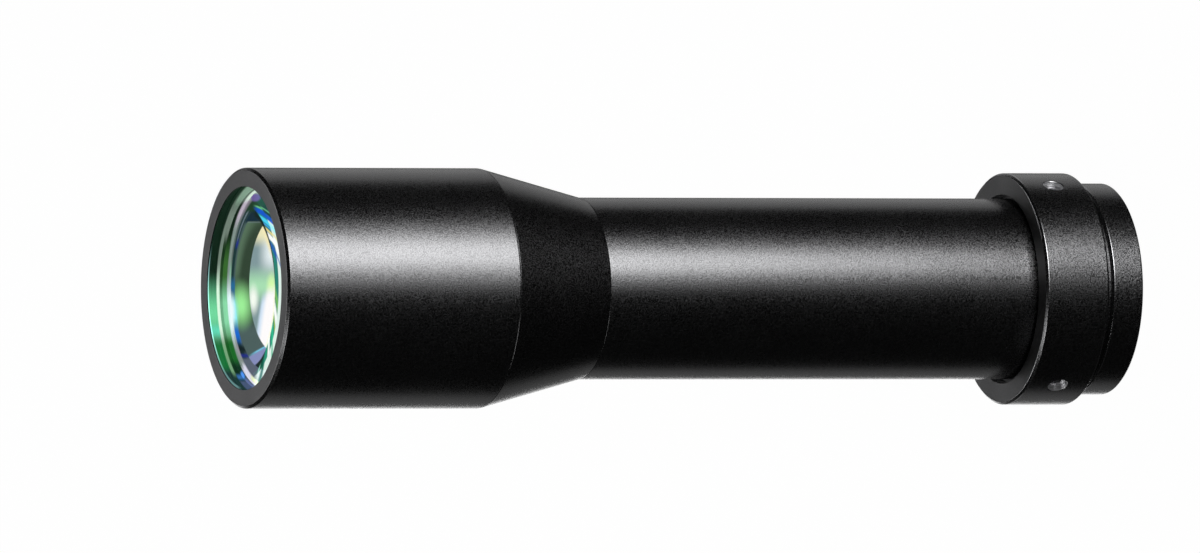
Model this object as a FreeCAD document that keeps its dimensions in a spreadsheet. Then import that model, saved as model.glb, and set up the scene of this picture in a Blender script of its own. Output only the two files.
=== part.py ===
# Telecentric lens, upright on its camera end: front glass up, +Z along the optical axis.
# The origin is the centre of the rear face. All lengths are in millimetres.
import FreeCAD
import Part
import math
import os
import re
import Sketcher

# Driving sizes: what a designer would change, each written once.
SIZES = [
    # front barrel
    ("barrel_diameter", 60.0),
    ("barrel_length", 62.3),
    ("barrel_wall", 3.4),
    ("barrel_chamfer", 0.65),
    ("barrel_thread_wall", 2.0),
    ("barrel_thread_length", 8.0),
    ("lip_width", 4.7),
    ("lip_thickness", 1.0),
    # front lens group
    ("front_flint_curve_radius", 400.0),
    ("front_cement_curve_radius", 75.0),
    ("front_crown_curve_radius", 110.0),
    ("front_singlet_curve_radius", 90.0),
    ("front_flint_thickness", 4.0),
    ("front_crown_thickness", 13.0),
    ("front_singlet_thickness", 9.0),
    ("front_air_gap", 1.0),
    ("front_spacer_wall", 1.7),
    ("front_retainer_wall", 2.0),
    ("front_retainer_length", 5.0),
    # taper housing
    ("taper_length", 27.1),
    ("taper_spigot_wall", 2.4),
    ("taper_step_width", 0.85),
    ("taper_baffle_thickness", 1.2),
    ("taper_baffle_hole", 34.0),
    # main tube
    ("tube_diameter", 45.5),
    ("tube_length", 115.6),
    ("tube_wall", 3.25),
    ("tube_front_wall", 4.25),
    ("tube_spigot_step", 2.0),
    ("tube_spigot_length", 10.0),
    ("flange_height", 2.45),
    ("flange_thickness", 3.0),
    ("pilot_wall", 1.9),
    ("pilot_length", 4.0),
    # aperture stop and baffles, stacked in the tube
    ("stop_seat_depth", 74.3),
    ("stop_ledge", 1.0),
    ("stop_thickness", 1.0),
    ("stop_hole", 9.0),
    ("sleeve_wall", 1.1),
    ("stop_sleeve_length", 20.0),
    ("baffle_sleeve_length", 20.0),
    ("baffle_thickness", 0.8),
    ("rear_baffle_hole", 17.0),
    ("front_baffle_hole", 25.0),
    ("stack_ring_wall", 2.4),
    ("stack_ring_length", 4.0),
    # rear lens group in its cell
    ("cell_seat_depth", 44.6),
    ("cell_length", 32.0),
    ("cell_wall", 2.3),
    ("cell_lip_width", 2.1),
    ("cell_lip_thickness", 2.0),
    ("rear_crown_curve_radius", 60.0),
    ("rear_cement_curve_radius", 45.0),
    ("rear_flint_curve_radius", 150.0),
    ("rear_singlet_curve_radius", 50.0),
    ("rear_crown_thickness", 9.0),
    ("rear_flint_thickness", 3.0),
    ("rear_singlet_thickness", 7.0),
    ("rear_spacer_wall", 1.5),
    ("rear_spacer_length", 8.0),
    ("cell_retainer_wall", 1.8),
    ("cell_retainer_length", 4.0),
    ("lock_ring_wall", 3.0),
    ("lock_ring_length", 5.0),
    # clamp ring and its set screws
    ("ring_wall", 3.65),
    ("ring_length", 17.2),
    ("ring_chamfer", 0.55),
    ("ring_lip_thickness", 2.5),
    ("ring_lip_gap", 0.95),
    ("screw_diameter", 5.0),
    ("screw_length", 4.0),
    ("screw_point_flat", 0.3),
    ("screw_socket_width", 2.5),
    ("screw_socket_depth", 1.6),
    ("screw_hole_chamfer", 0.25),
    ("screw_count", 3),
    ("screw_angle", -26.6),
    ("vee_depth", 1.9),
    # camera mount
    ("cap_step", 1.2),
    ("cap_length", 8.3),
    ("cap_chamfer", 0.4),
    ("groove_width", 2.0),
    ("mount_thread_bore", 41.0),
    ("mount_thread_length", 7.0),
    ("mount_thread_chamfer", 0.5),
    ("mount_light_bore", 38.0),
    # spanner slots across the retaining rings
    ("slot_width", 3.0),
    ("slot_depth", 1.5),
    # clearances
    ("lens_clearance", 0.1),
    ("thread_clearance", 0.1),
    ("seat_play", 0.1),
    ("cement_gap", 0.1),
    ("turning_play", 0.3),
    ("pilot_clearance", 0.08),
    ("vee_clearance", 0.15),
]


def sagitta(curve, across):
    """How far a spherical face falls from its vertex at the given radius, as a formula."""
    return f"({curve} - sqrt({curve}^2 - ({across})^2))"


# Sizes and heights that follow from the driving ones. Heights are above the rear face.
PLACES = [
    ("barrel_radius", "barrel_diameter / 2"),
    ("barrel_bore_radius", "barrel_radius - barrel_wall"),
    ("barrel_thread_radius", "barrel_radius - barrel_thread_wall"),
    ("lip_radius", "barrel_radius - lip_width"),
    ("front_lens_radius", "barrel_bore_radius - lens_clearance"),
    ("front_spacer_bore_radius", "front_lens_radius - front_spacer_wall"),
    ("tube_radius", "tube_diameter / 2"),
    ("tube_rear_bore_radius", "tube_radius - tube_wall"),
    ("tube_front_bore_radius", "tube_radius - tube_front_wall"),
    ("tube_spigot_radius", "tube_radius - tube_spigot_step"),
    ("taper_socket_radius", "tube_spigot_radius + thread_clearance"),
    ("taper_spigot_radius", "barrel_thread_radius - thread_clearance"),
    ("flange_radius", "tube_radius + flange_height"),
    ("pilot_radius", "tube_rear_bore_radius + pilot_wall"),
    ("stack_radius", "tube_front_bore_radius - lens_clearance"),
    ("cell_radius", "tube_rear_bore_radius - lens_clearance"),
    ("cell_bore_radius", "cell_radius - cell_wall"),
    ("cell_lip_radius", "cell_bore_radius - cell_lip_width"),
    ("rear_lens_radius", "cell_bore_radius - lens_clearance"),
    ("rear_spacer_bore_radius", "rear_lens_radius - rear_spacer_wall"),
    ("ring_lip_radius", "tube_radius + ring_lip_gap"),
    ("ring_bore_radius", "flange_radius + turning_play"),
    ("ring_radius", "ring_bore_radius + ring_wall"),
    ("mount_spigot_radius", "ring_bore_radius - thread_clearance"),
    ("cap_radius", "mount_spigot_radius + cap_step"),
    ("screw_hole_radius", "screw_diameter / 2"),
    ("screw_radius", "screw_hole_radius - thread_clearance"),
    ("screw_tip", "mount_spigot_radius - vee_depth + vee_clearance"),
    ("ring_base", "cap_length + groove_width"),
    ("screw_height", "ring_base + ring_length / 2"),
    ("ring_front", "ring_base + ring_length"),
    ("tube_top", "ring_front + tube_length"),
    ("taper_top", "tube_top + taper_length"),
    ("overall_length", "taper_top + barrel_length"),
    ("flange_top", "ring_front - ring_lip_thickness - turning_play"),
    ("flange_base", "flange_top - flange_thickness"),
    ("mount_spigot_top", "flange_base - turning_play"),
    ("tube_base", "flange_base - pilot_length"),
    ("lip_base", "overall_length - lip_thickness"),
    ("front_flint_vertex",
     "lip_base - seat_play + " + sagitta("front_flint_curve_radius", "lip_radius")),
    ("front_flint_base", "front_flint_vertex - front_flint_thickness"),
    ("front_crown_base", "front_flint_base - cement_gap - front_crown_thickness"),
    ("front_spacer_top",
     "front_crown_base - seat_play + "
     + sagitta("front_crown_curve_radius", "front_spacer_bore_radius")),
    ("front_singlet_vertex", "front_crown_base - front_air_gap"),
    ("front_spacer_base",
     "front_singlet_vertex + seat_play - "
     + sagitta("front_singlet_curve_radius", "front_spacer_bore_radius")),
    ("front_singlet_base", "front_singlet_vertex - front_singlet_thickness"),
    ("front_retainer_base", "front_singlet_base - seat_play - front_retainer_length"),
    ("taper_baffle_base", "tube_top + tube_spigot_length + seat_play"),
    ("stop_base", "tube_base + stop_seat_depth + seat_play"),
    ("stop_sleeve_base", "stop_base + stop_thickness + seat_play"),
    ("rear_baffle_base", "stop_sleeve_base + stop_sleeve_length + seat_play"),
    ("baffle_sleeve_base", "rear_baffle_base + baffle_thickness + seat_play"),
    ("front_baffle_base", "baffle_sleeve_base + baffle_sleeve_length + seat_play"),
    ("stack_ring_base", "front_baffle_base + baffle_thickness + seat_play"),
    ("cell_top", "tube_base + cell_seat_depth - seat_play"),
    ("cell_base", "cell_top - cell_length"),
    ("rear_crown_vertex",
     "cell_top - cell_lip_thickness - seat_play + "
     + sagitta("rear_crown_curve_radius", "cell_lip_radius")),
    ("rear_crown_base", "rear_crown_vertex - rear_crown_thickness"),
    ("rear_flint_base", "rear_crown_base - cement_gap - rear_flint_thickness"),
    ("rear_spacer_base",
     "rear_flint_base - seat_play - rear_spacer_length + "
     + sagitta("rear_flint_curve_radius", "rear_spacer_bore_radius")),
    ("rear_singlet_vertex",
     "rear_spacer_base - seat_play + "
     + sagitta("rear_singlet_curve_radius", "rear_spacer_bore_radius")),
    ("rear_singlet_base", "rear_singlet_vertex - rear_singlet_thickness"),
    ("cell_retainer_base", "rear_singlet_base - seat_play - cell_retainer_length"),
    ("lock_ring_base", "cell_base - seat_play - lock_ring_length"),
]

doc = FreeCAD.newDocument("TelecentricLens")
sheet = doc.addObject("Spreadsheet::Sheet", "Sizes")
for row, (alias, value) in enumerate(SIZES, start=1):
    sheet.set(f"A{row}", alias.replace("_", " "))
    sheet.set(f"B{row}", str(value))
    sheet.setAlias(f"B{row}", alias)
for row, (alias, formula) in enumerate(PLACES, start=len(SIZES) + 1):
    sheet.set(f"A{row}", alias.replace("_", " "))
    sheet.set(f"B{row}", "=" + formula)
    sheet.setAlias(f"B{row}", alias)
doc.recompute()

ALIASES = {alias for alias, entry in SIZES + PLACES}
PARTS = []


def bound(formula):
    """The formula with each sheet word written as a reference to its cell."""
    def cell(hit):
        return "Sizes." + hit.group() if hit.group() in ALIASES else hit.group()
    return re.sub(r"[a-z_]+", cell, formula)


def measure(formula):
    """The formula's value now, for the first draft of a sketch."""
    return float(sheet.evalExpression(bound(formula)))


def plane(body, role):
    """One of the body's own origin planes."""
    return next(item for item in body.Origin.OriginFeatures if item.Role == role)


def new_body(label, height="0"):
    """An empty body whose own origin stands at a height above the rear face."""
    body = doc.addObject("PartDesign::Body", label)
    body.Label = label
    if height != "0":
        body.setExpression("Placement.Base.z", bound(height))
    PARTS.append(body)
    return body


def new_sketch(body, name, role="XZ_Plane"):
    """An empty sketch on an origin plane. On XZ, across is the radius and up is the axis."""
    sketch = body.newObject("Sketcher::SketchObject", name)
    sketch.AttachmentSupport = [(plane(body, role), "")]
    sketch.MapMode = "FlatFace"
    return sketch


def hold(sketch, kind, piece, end, formula):
    """Dimension one end of a sketch piece from the origin, or set it on the axis if it is zero."""
    if formula == "0":
        axis = -2 if kind == "DistanceX" else -1
        sketch.addConstraint(Sketcher.Constraint("PointOnObject", piece, end, axis))
        return
    index = sketch.addConstraint(Sketcher.Constraint(kind, -1, 1, piece, end, measure(formula)))
    sketch.setExpression(f"Constraints[{index}]", bound(formula))


def outline(sketch, corners):
    """A closed outline of straight lines through (radius, height) corners, each one dimensioned."""
    spots = [FreeCAD.Vector(measure(across), measure(up), 0) for across, up in corners]
    count = len(spots)
    for index in range(count):
        sketch.addGeometry(Part.LineSegment(spots[index], spots[(index + 1) % count]), False)
    for index in range(count):
        sketch.addConstraint(Sketcher.Constraint("Coincident", index, 2, (index + 1) % count, 1))
    for index, (across, up) in enumerate(corners):
        hold(sketch, "DistanceX", index, 1, across)
        hold(sketch, "DistanceY", index, 1, up)


def turned(label, height, corners):
    """A turned piece: the outline swung once round the optical axis."""
    body = new_body(label, height)
    sketch = new_sketch(body, label + "_profile")
    outline(sketch, corners)
    turn = body.newObject("PartDesign::Revolution", label + "_turned")
    turn.Profile = sketch
    turn.ReferenceAxis = (sketch, ["V_Axis"])
    turn.Angle = 360.0
    doc.recompute()
    return body


def ring(label, height, bore, outside, length):
    """A plain turned ring, its base on its own origin."""
    corners = [(bore, "0"), (outside, "0"), (outside, length), (bore, length)]
    return turned(label, height, corners)


def spherical(sketch, curve, vertex, rim_radius, bulges_up):
    """A spherical face's arc from its vertex on the axis to the rim, with its centre on the axis."""
    size = measure(curve)
    top = measure(vertex)
    rim = math.acos(measure(rim_radius) / size)
    if bulges_up:
        circle = Part.Circle(FreeCAD.Vector(0, top - size, 0), FreeCAD.Vector(0, 0, 1), size)
        index = sketch.addGeometry(Part.ArcOfCircle(circle, rim, math.pi / 2), False)
    else:
        circle = Part.Circle(FreeCAD.Vector(0, top + size, 0), FreeCAD.Vector(0, 0, 1), size)
        index = sketch.addGeometry(Part.ArcOfCircle(circle, -math.pi / 2, -rim), False)
    vertex_end, rim_end = (2, 1) if bulges_up else (1, 2)
    sketch.addConstraint(Sketcher.Constraint("PointOnObject", index, 3, -2))
    radius = sketch.addConstraint(Sketcher.Constraint("Radius", index, size))
    sketch.setExpression(f"Constraints[{radius}]", bound(curve))
    hold(sketch, "DistanceX", index, vertex_end, "0")
    hold(sketch, "DistanceY", index, vertex_end, vertex)
    hold(sketch, "DistanceX", index, rim_end, rim_radius)
    return index, vertex_end, rim_end


def flat(sketch, vertex, rim_radius):
    """A flat face's line from the axis to the rim."""
    up = measure(vertex)
    spots = FreeCAD.Vector(0, up, 0), FreeCAD.Vector(measure(rim_radius), up, 0)
    index = sketch.addGeometry(Part.LineSegment(*spots), False)
    for end in (1, 2):
        hold(sketch, "DistanceY", index, end, vertex)
    hold(sketch, "DistanceX", index, 1, "0")
    hold(sketch, "DistanceX", index, 2, rim_radius)
    return index, 1, 2


def lens(label, height, thickness, rim_radius, front, rear):
    """A lens with its rear vertex on its own origin. A face is None if flat, or (curve, bulges up)."""
    body = new_body(label, height)
    sketch = new_sketch(body, label + "_profile")
    faces = []
    for face, vertex in ((front, thickness), (rear, "0")):
        faces.append(flat(sketch, vertex, rim_radius) if face is None
                     else spherical(sketch, face[0], vertex, rim_radius, face[1]))
    for end in (1, 2):
        spots = [FreeCAD.Vector(sketch.getPoint(face[0], face[end])) for face in faces]
        side = sketch.addGeometry(Part.LineSegment(*spots), False)
        for side_end, face in zip((1, 2), faces):
            sketch.addConstraint(Sketcher.Constraint("Coincident", side, side_end, face[0], face[end]))
    turn = body.newObject("PartDesign::Revolution", label + "_ground")
    turn.Profile = sketch
    turn.ReferenceAxis = (sketch, ["V_Axis"])
    turn.Angle = 360.0
    doc.recompute()
    return body


def must_shrink(body, before):
    """A cut that removes nothing has missed its piece."""
    if body.Shape.Volume > before - 1e-3:
        raise ValueError(body.Label + ": a cut removed nothing")


def spanner_slots(body, outside, level="0", upwards=True):
    """Two slots for a pin spanner, cut in one pass straight across a ring's end face."""
    before = body.Shape.Volume
    sketch = new_sketch(body, body.Label + "_slots", "XY_Plane")
    if level != "0":
        sketch.setExpression("AttachmentOffset.Base.z", bound(level))
    reach, half = measure(outside) * 1.1, measure("slot_width / 2")
    spots = [FreeCAD.Vector(reach * a, half * b, 0) for a, b in ((-1, -1), (1, -1), (1, 1), (-1, 1))]
    for index in range(4):
        sketch.addGeometry(Part.LineSegment(spots[index], spots[(index + 1) % 4]), False)
    for index in range(4):
        sketch.addConstraint(Sketcher.Constraint("Coincident", index, 2, (index + 1) % 4, 1))
        sketch.addConstraint(Sketcher.Constraint("Horizontal" if index % 2 == 0 else "Vertical", index))
    sketch.addConstraint(Sketcher.Constraint("Symmetric", 0, 1, 2, 1, -1, 1))
    for index, formula in ((0, outside + " * 2.2"), (1, "slot_width")):
        name = sketch.addConstraint(Sketcher.Constraint("Distance", index, measure(formula)))
        sketch.setExpression(f"Constraints[{name}]", bound(formula))
    cut = body.newObject("PartDesign::Pocket", body.Label + "_slot_cut")
    cut.Profile = sketch
    cut.setExpression("Length", bound("slot_depth"))
    cut.Reversed = upwards
    doc.recompute()
    must_shrink(body, before)


# Front barrel: one turned sleeve with the front lip, the lens bore and the thread for the taper.
turned("front_barrel", "taper_top", [
    ("barrel_thread_radius", "0"),
    ("barrel_radius", "0"),
    ("barrel_radius", "barrel_length - barrel_chamfer"),
    ("barrel_radius - barrel_chamfer", "barrel_length"),
    ("lip_radius", "barrel_length"),
    ("lip_radius", "barrel_length - lip_thickness"),
    ("barrel_bore_radius", "barrel_length - lip_thickness"),
    ("barrel_bore_radius", "barrel_thread_length"),
    ("barrel_thread_radius", "barrel_thread_length"),
])

# Front lens group: a cemented pair, a spacer, a single lens and the ring that holds them.
lens("front_flint_lens", "front_flint_base", "front_flint_thickness", "front_lens_radius",
     ("front_flint_curve_radius", True), ("front_cement_curve_radius", True))
lens("front_crown_lens", "front_crown_base", "front_crown_thickness", "front_lens_radius",
     ("front_cement_curve_radius", True), ("front_crown_curve_radius", False))
ring("front_spacer", "front_spacer_base", "front_spacer_bore_radius", "front_lens_radius",
     "front_spacer_top - front_spacer_base")
lens("front_singlet_lens", "front_singlet_base", "front_singlet_thickness", "front_lens_radius",
     ("front_singlet_curve_radius", True), None)
front_retainer = ring("front_retaining_ring", "front_retainer_base",
                      "front_lens_radius - front_retainer_wall", "front_lens_radius",
                      "front_retainer_length")
spanner_slots(front_retainer, "front_lens_radius")

# Taper housing: the cone outside, a threaded spigot for the barrel and a socket for the tube.
turned("taper_housing", "tube_top", [
    ("taper_socket_radius", "0"),
    ("tube_radius", "0"),
    ("barrel_radius", "taper_length"),
    ("taper_spigot_radius", "taper_length"),
    ("taper_spigot_radius", "taper_length + barrel_thread_length - seat_play"),
    ("taper_spigot_radius - taper_spigot_wall", "taper_length + barrel_thread_length - seat_play"),
    ("taper_socket_radius - taper_step_width",
     "tube_spigot_length + taper_baffle_thickness + 2 * seat_play"),
    ("taper_socket_radius", "tube_spigot_length + taper_baffle_thickness + 2 * seat_play"),
])
ring("taper_baffle", "taper_baffle_base", "taper_baffle_hole / 2", "tube_spigot_radius",
     "taper_baffle_thickness")

# Main tube: front spigot, the long plain body, and the rear flange and pilot that turn in the mount.
turned("main_tube", "tube_base", [
    ("tube_rear_bore_radius", "0"),
    ("pilot_radius", "0"),
    ("pilot_radius", "pilot_length"),
    ("flange_radius", "pilot_length"),
    ("flange_radius", "pilot_length + flange_thickness"),
    ("tube_radius", "pilot_length + flange_thickness"),
    ("tube_radius", "tube_top - tube_base"),
    ("tube_spigot_radius", "tube_top - tube_base"),
    ("tube_spigot_radius", "tube_top - tube_base + tube_spigot_length"),
    ("tube_front_bore_radius", "tube_top - tube_base + tube_spigot_length"),
    ("tube_front_bore_radius", "stop_seat_depth"),
    ("tube_front_bore_radius - stop_ledge", "stop_seat_depth"),
    ("tube_front_bore_radius - stop_ledge", "cell_seat_depth"),
    ("tube_rear_bore_radius", "cell_seat_depth"),
])

# Aperture stop on its ledge, then sleeves and baffles, locked by one ring from the front.
ring("aperture_stop", "stop_base", "stop_hole / 2", "stack_radius", "stop_thickness")
ring("stop_sleeve", "stop_sleeve_base", "stack_radius - sleeve_wall", "stack_radius",
     "stop_sleeve_length")
ring("rear_baffle", "rear_baffle_base", "rear_baffle_hole / 2", "stack_radius", "baffle_thickness")
ring("baffle_sleeve", "baffle_sleeve_base", "stack_radius - sleeve_wall", "stack_radius",
     "baffle_sleeve_length")
ring("front_baffle", "front_baffle_base", "front_baffle_hole / 2", "stack_radius", "baffle_thickness")
stack_ring = ring("stack_retaining_ring", "stack_ring_base", "stack_radius - stack_ring_wall",
                  "stack_radius", "stack_ring_length")
spanner_slots(stack_ring, "stack_radius", "stack_ring_length", False)

# Rear lens group: a cell with a front lip, a cemented pair, a spacer, a single lens and two rings.
turned("rear_cell", "cell_base", [
    ("cell_bore_radius", "0"),
    ("cell_radius", "0"),
    ("cell_radius", "cell_length"),
    ("cell_lip_radius", "cell_length"),
    ("cell_lip_radius", "cell_length - cell_lip_thickness"),
    ("cell_bore_radius", "cell_length - cell_lip_thickness"),
])
lens("rear_crown_lens", "rear_crown_base", "rear_crown_thickness", "rear_lens_radius",
     ("rear_crown_curve_radius", True), ("rear_cement_curve_radius", False))
lens("rear_flint_lens", "rear_flint_base", "rear_flint_thickness", "rear_lens_radius",
     ("rear_cement_curve_radius", False), ("rear_flint_curve_radius", False))
ring("rear_spacer", "rear_spacer_base", "rear_spacer_bore_radius", "rear_lens_radius",
     "rear_spacer_length")
lens("rear_singlet_lens", "rear_singlet_base", "rear_singlet_thickness", "rear_lens_radius",
     ("rear_singlet_curve_radius", True), None)
cell_retainer = ring("cell_retaining_ring", "cell_retainer_base",
                     "rear_lens_radius - cell_retainer_wall", "rear_lens_radius",
                     "cell_retainer_length")
spanner_slots(cell_retainer, "rear_lens_radius")
lock_ring = ring("cell_lock_ring", "lock_ring_base", "cell_radius - lock_ring_wall", "cell_radius",
                 "lock_ring_length")
spanner_slots(lock_ring, "cell_radius")

# Clamp ring: hooks over the tube's flange with its front lip and carries the radial screws.
clamp = turned("clamp_ring", "ring_base", [
    ("ring_bore_radius", "0"),
    ("ring_radius - ring_chamfer", "0"),
    ("ring_radius", "ring_chamfer"),
    ("ring_radius", "ring_length - ring_chamfer"),
    ("ring_radius - ring_chamfer", "ring_length"),
    ("ring_lip_radius", "ring_length"),
    ("ring_lip_radius", "ring_length - ring_lip_thickness"),
    ("ring_bore_radius", "ring_length - ring_lip_thickness"),
])
solid_ring = clamp.Shape.Volume
hole = new_sketch(clamp, "screw_hole_profile")
outline(hole, [
    ("ring_bore_radius - vee_depth", "ring_length / 2"),
    ("ring_bore_radius - vee_depth", "ring_length / 2 + screw_hole_radius"),
    ("ring_radius - screw_hole_chamfer", "ring_length / 2 + screw_hole_radius"),
    ("ring_radius + screw_hole_chamfer",
     "ring_length / 2 + screw_hole_radius + 2 * screw_hole_chamfer"),
    ("ring_radius + screw_hole_chamfer", "ring_length / 2"),
])
clamp.Placement = FreeCAD.Placement(clamp.Placement.Base,
                                    FreeCAD.Rotation(FreeCAD.Vector(0, 0, 1), measure("screw_angle")))
clamp.setExpression("Placement.Rotation.Angle", bound("screw_angle"))
drilled = clamp.newObject("PartDesign::Groove", "screw_hole")
drilled.Profile = hole
drilled.ReferenceAxis = (hole, ["Edge5"])
drilled.Angle = 360.0
doc.recompute()
must_shrink(clamp, solid_ring)
one_hole = clamp.Shape.Volume
holes = clamp.newObject("PartDesign::PolarPattern", "screw_holes")
holes.Originals = [drilled]
holes.Axis = (hole, ["V_Axis"])
holes.Angle = 360.0
holes.setExpression("Occurrences", bound("screw_count"))
clamp.Tip = holes
doc.recompute()
must_shrink(clamp, one_hole)

# Camera mount: the rear cap, the groove, and a spigot with the vee that the screw points press in.
turned("camera_mount", "0", [
    ("mount_thread_bore / 2 + mount_thread_chamfer", "0"),
    ("cap_radius - cap_chamfer", "0"),
    ("cap_radius", "cap_chamfer"),
    ("cap_radius", "cap_length - cap_chamfer"),
    ("cap_radius - cap_chamfer", "cap_length"),
    ("mount_spigot_radius", "cap_length"),
    ("mount_spigot_radius", "screw_height - vee_depth"),
    ("mount_spigot_radius - vee_depth", "screw_height"),
    ("mount_spigot_radius", "screw_height + vee_depth"),
    ("mount_spigot_radius", "mount_spigot_top"),
    ("pilot_radius + pilot_clearance", "mount_spigot_top"),
    ("pilot_radius + pilot_clearance", "tube_base - turning_play"),
    ("mount_light_bore / 2", "tube_base - turning_play"),
    ("mount_light_bore / 2", "mount_thread_length"),
    ("mount_thread_bore / 2", "mount_thread_length"),
    ("mount_thread_bore / 2", "mount_thread_chamfer"),
])

# Set screws: cone points in the vee, hexagon sockets outwards, one node for the three alike.
screws = new_body("set_screws", "screw_height")
shank = new_sketch(screws, "screw_profile")
outline(shank, [
    ("screw_tip + screw_point_flat", "0"),
    ("screw_tip + screw_point_flat", "screw_point_flat"),
    ("screw_tip + screw_radius", "screw_radius"),
    ("screw_tip + screw_length", "screw_radius"),
    ("screw_tip + screw_length", "0"),
])
screws.Placement = FreeCAD.Placement(screws.Placement.Base,
                                     FreeCAD.Rotation(FreeCAD.Vector(0, 0, 1), measure("screw_angle")))
screws.setExpression("Placement.Rotation.Angle", bound("screw_angle"))
screw = screws.newObject("PartDesign::Revolution", "screw_turned")
screw.Profile = shank
screw.ReferenceAxis = (shank, ["H_Axis"])
screw.Angle = 360.0
doc.recompute()
plain_screw = screws.Shape.Volume
socket = new_sketch(screws, "screw_socket_profile", "YZ_Plane")
socket.setExpression("AttachmentOffset.Base.z", bound("screw_tip + screw_length"))
corner = measure("screw_socket_width / 2") / math.cos(math.pi / 6)
spots = [FreeCAD.Vector(corner * math.cos(turn * math.pi / 3), corner * math.sin(turn * math.pi / 3), 0)
         for turn in range(6)]
for index in range(6):
    socket.addGeometry(Part.LineSegment(spots[index], spots[(index + 1) % 6]), False)
rim = socket.addGeometry(Part.Circle(FreeCAD.Vector(0, 0, 0), FreeCAD.Vector(0, 0, 1), corner), True)
for index in range(6):
    socket.addConstraint(Sketcher.Constraint("Coincident", index, 2, (index + 1) % 6, 1))
    socket.addConstraint(Sketcher.Constraint("PointOnObject", index, 1, rim))
for index in range(5):
    socket.addConstraint(Sketcher.Constraint("Equal", index, index + 1))
socket.addConstraint(Sketcher.Constraint("Coincident", rim, 3, -1, 1))
socket.addConstraint(Sketcher.Constraint("PointOnObject", 0, 1, -1))
across = socket.addConstraint(Sketcher.Constraint("Radius", rim, corner))
socket.setExpression(f"Constraints[{across}]", bound("screw_socket_width / 2 / cos(30)"))
key = screws.newObject("PartDesign::Pocket", "screw_socket")
key.Profile = socket
key.setExpression("Length", bound("screw_socket_depth"))
doc.recompute()
must_shrink(screws, plain_screw)
screw_set = screws.newObject("PartDesign::PolarPattern", "screw_set")
screw_set.Originals = [screw, key]
screw_set.Axis = (shank, ["V_Axis"])
screw_set.Angle = 360.0
screw_set.setExpression("Occurrences", bound("screw_count"))
screws.Tip = screw_set
doc.recompute()

# Nothing is written unless every object is sound and every piece is a closed solid.
for item in doc.Objects:
    if "Invalid" in item.State or "Error" in item.State:
        raise ValueError(item.Label + " failed: " + ", ".join(item.State))
for body in PARTS:
    if body.Shape.isNull() or not body.Shape.isValid() or not body.Shape.Solids:
        raise ValueError(body.Label + " is not a sound solid")
if len(screws.Shape.Solids) != int(measure("screw_count")):
    raise ValueError("the set screws did not come out as separate solids")

os.makedirs("parts", exist_ok=True)
for body in PARTS:
    body.Shape.exportStep(f"parts/{body.Label}.step")
    box = body.Shape.BoundBox
    print(f"{body.Label}: {len(body.Shape.Solids)} solid(s), {body.Shape.Volume / 1000:.2f} cm3, "
          f"z {box.ZMin:.2f} to {box.ZMax:.2f}, widest {box.XLength:.2f}")
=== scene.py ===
import math

import bmesh
import bpy
import numpy as np
from mathutils import Matrix, Vector


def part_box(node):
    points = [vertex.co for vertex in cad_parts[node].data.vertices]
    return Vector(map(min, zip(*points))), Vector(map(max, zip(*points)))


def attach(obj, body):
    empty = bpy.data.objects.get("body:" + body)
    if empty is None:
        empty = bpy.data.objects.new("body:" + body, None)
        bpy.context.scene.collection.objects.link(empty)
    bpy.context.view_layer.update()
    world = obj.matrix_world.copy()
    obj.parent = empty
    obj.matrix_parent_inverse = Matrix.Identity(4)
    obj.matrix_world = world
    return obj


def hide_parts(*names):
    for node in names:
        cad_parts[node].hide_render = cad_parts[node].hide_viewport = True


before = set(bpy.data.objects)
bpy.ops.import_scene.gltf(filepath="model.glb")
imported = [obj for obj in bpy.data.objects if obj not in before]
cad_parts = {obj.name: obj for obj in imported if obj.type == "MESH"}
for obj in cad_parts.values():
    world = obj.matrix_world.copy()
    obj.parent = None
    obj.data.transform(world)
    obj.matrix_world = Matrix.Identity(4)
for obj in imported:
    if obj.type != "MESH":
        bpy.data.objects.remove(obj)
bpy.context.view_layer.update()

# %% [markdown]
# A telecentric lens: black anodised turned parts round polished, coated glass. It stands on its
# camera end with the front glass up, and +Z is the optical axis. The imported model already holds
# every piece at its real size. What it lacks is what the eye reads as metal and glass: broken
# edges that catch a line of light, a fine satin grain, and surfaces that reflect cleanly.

scene = bpy.context.scene
MM = 0.001
TURN = 2 * math.pi
AROUND = 288
SHARP = math.radians(35)
print("pieces in the frame:", len(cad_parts))

# %% [markdown]
# Every turned piece is a profile swung about the axis. A real lathe part never has a knife edge,
# because each corner is broken by a touch of a file or by the small radius of the tool. So each
# corner of a profile becomes a short arc, and two more points hold the flat runs flat right up to
# it. A Bevel modifier would do the same, but here the arc is exact and costs nothing to redo.


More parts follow.
